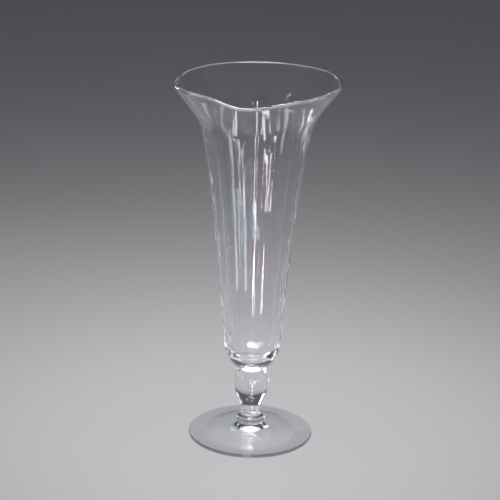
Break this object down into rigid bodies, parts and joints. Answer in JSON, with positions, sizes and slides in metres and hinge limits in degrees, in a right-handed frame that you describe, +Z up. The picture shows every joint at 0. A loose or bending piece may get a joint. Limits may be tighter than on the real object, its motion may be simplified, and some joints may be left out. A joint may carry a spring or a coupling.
{
  "type": "trumpet vase",
  "caption": "Tall footed trumpet vase of clear glass: a fluted, flared bowl with a wavy rim, on a baluster knop stem and a thin round foot.",
  "frame": {"origin": "centre of the foot's resting plane, on the vase's axis", "axes": "+Z up along the vase's axis, -Y towards the front, +X to the right seen from the front"},
  "size_m": [0.1326, 0.1326, 0.302],
  "materials": {
    "bowl_glass": "clear, fire-polished, faintly blue-grey",
    "stem_glass": "clear, solid, fire-polished",
    "foot_glass": "clear, fire-polished, with a lightly worn resting ring"
  },
  "bodies": {
    "root": {"foot": "foot_glass", "foot_collar": "stem_glass", "stem": "stem_glass", "neck_ring": "stem_glass", "bowl": "bowl_glass"}
  },
  "joints": []
}
